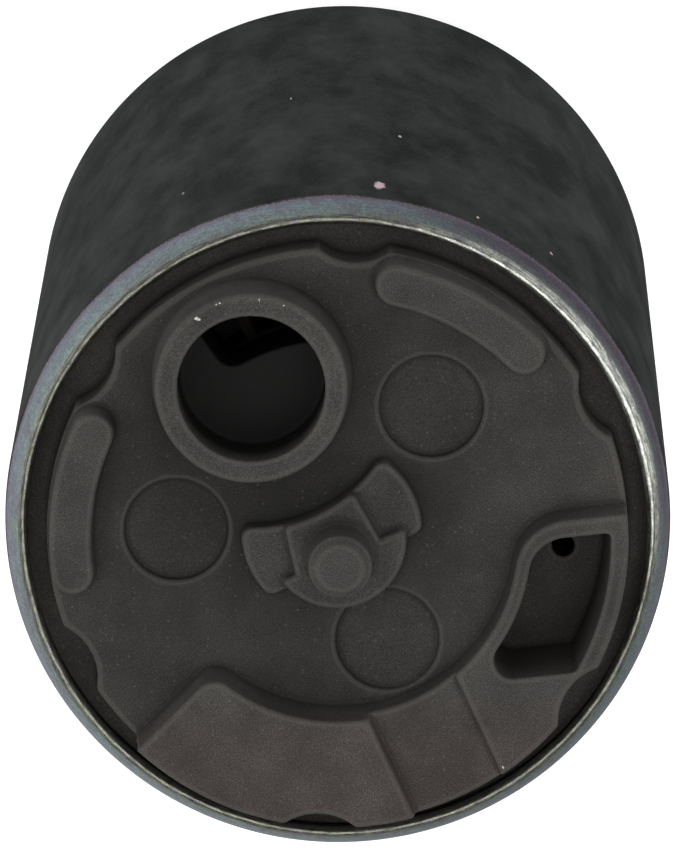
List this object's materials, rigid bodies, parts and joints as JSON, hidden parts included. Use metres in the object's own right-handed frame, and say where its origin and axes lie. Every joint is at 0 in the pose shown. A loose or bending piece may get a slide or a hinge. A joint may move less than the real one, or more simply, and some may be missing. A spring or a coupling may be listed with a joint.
{
  "type": "in-tank fuel pump",
  "caption": "Electric in-tank fuel pump: a rolled steel casing with a cast inlet cover, side-channel impeller, motor and a barbed outlet.",
  "frame": {"origin": "on the axis, in the plane where the casing starts to roll inwards at the inlet end", "axes": "+Z out of the inlet end along the casing axis, +Y to the side that the inlet port is on, +X to the right seen from the inlet end"},
  "size_m": [0.038, 0.038, 0.0895],
  "materials": {
    "coated_steel": "black coated steel, bare and passivated on the roll",
    "cast_alloy": "dark hard-anodised die casting",
    "hard_steel": "ground",
    "phenolic": "moulded and ground",
    "sintered_bronze": "sintered",
    "core_steel": "stamped",
    "copper_wire": "enamelled",
    "insulator": "moulded",
    "copper": "turned",
    "ferrite": "sintered and ground",
    "spring_steel": "bright",
    "moulding": "black acetal, moulded",
    "seal_rubber": "moulded",
    "valve_plastic": "natural acetal",
    "brass": "stamped",
    "carbon": "pressed carbon",
    "tinned_brass": "tinned"
  },
  "bodies": {
    "pump_body": {"casing": "coated_steel", "inlet_cover": "cast_alloy", "pump_housing": "cast_alloy", "thrust_disc": "hard_steel", "bearing_inlet": "sintered_bronze", "bearing_outlet": "sintered_bronze", "magnet_a": "ferrite", "magnet_b": "ferrite", "magnet_clip_a": "spring_steel", "magnet_clip_b": "spring_steel", "outlet_cap": "moulding", "cap_seal": "seal_rubber", "check_valve_guide": "brass", "check_valve_spring": "spring_steel", "relief_valve_spring": "spring_steel", "relief_valve_plug": "brass", "brush_spring_a": "spring_steel", "brush_lead_a": "copper_wire", "brush_plate_a": "brass", "choke_core_a": "ferrite", "choke_coil_a": "copper_wire", "terminal_a": "tinned_brass", "brush_spring_b": "spring_steel", "brush_lead_b": "copper_wire", "brush_plate_b": "brass", "choke_core_b": "ferrite", "choke_coil_b": "copper_wire", "terminal_b": "tinned_brass"},
    "rotor": {"rotor_shaft": "hard_steel", "impeller": "phenolic", "armature_core": "core_steel", "armature_windings": "copper_wire", "end_insulator_inlet": "insulator", "end_insulator_outlet": "insulator", "commutator_base": "phenolic", "commutator_segments": "copper"},
    "brush_left": {"brush_a": "carbon"},
    "brush_right": {"brush_b": "carbon"},
    "check_valve": {"check_valve_poppet": "valve_plastic"},
    "relief_valve": {"relief_valve_ball": "hard_steel"}
  },
  "joints": [
    {"name": "rotor_spin", "type": "hinge", "parent": "pump_body", "child": "rotor", "pos_m": [0, 0, 0], "axis": [0, 0, 1], "continuous": true},
    {"name": "brush_left_slide", "type": "slide", "parent": "pump_body", "child": "brush_left", "axis": [0, 0, -1], "range_m": [0, 0.002], "stiffness_N_per_m": 300, "springref_m": -0.004, "deforming": ["brush_spring_a", "brush_lead_a"]},
    {"name": "brush_right_slide", "type": "slide", "parent": "pump_body", "child": "brush_right", "axis": [0, 0, -1], "range_m": [0, 0.002], "stiffness_N_per_m": 300, "springref_m": -0.004, "deforming": ["brush_spring_b", "brush_lead_b"]},
    {"name": "check_valve_slide", "type": "slide", "parent": "pump_body", "child": "check_valve", "axis": [0, 0, -1], "range_m": [0, 0.002], "stiffness_N_per_m": 60, "springref_m": -0.004, "deforming": ["check_valve_spring"]},
    {"name": "relief_valve_slide", "type": "slide", "parent": "pump_body", "child": "relief_valve", "axis": [0, 0, -1], "range_m": [0, 0.001], "stiffness_N_per_m": 1000, "springref_m": -0.0023, "deforming": ["relief_valve_spring"]}
  ]
}
